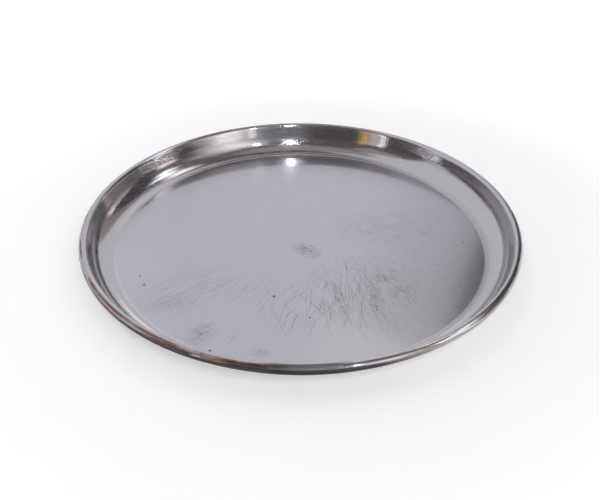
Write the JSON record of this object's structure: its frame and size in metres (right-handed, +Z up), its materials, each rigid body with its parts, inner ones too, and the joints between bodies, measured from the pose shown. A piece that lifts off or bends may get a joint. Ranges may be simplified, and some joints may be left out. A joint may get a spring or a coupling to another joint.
{
  "type": "round serving tray",
  "caption": "Shallow round serving tray pressed from stainless sheet, with a flat floor, a wide cove up to a steep wall and a rim rolled over a wire, for carrying food and drinks.",
  "frame": {"origin": "centre of the floor's underside, on the surface that the tray stands on", "axes": "+Z up along the tray's axis; X and Y are level, and the round tray has no front of its own"},
  "size_m": [0.356, 0.3558, 0.024],
  "materials": {
    "pan_steel": "satin stainless sheet, bright on the wall and rim, with fine scratches on the floor",
    "wire_steel": "plain drawn steel wire"
  },
  "bodies": {
    "root": {"tray_pan": "pan_steel", "rim_wire": "wire_steel"}
  },
  "joints": []
}
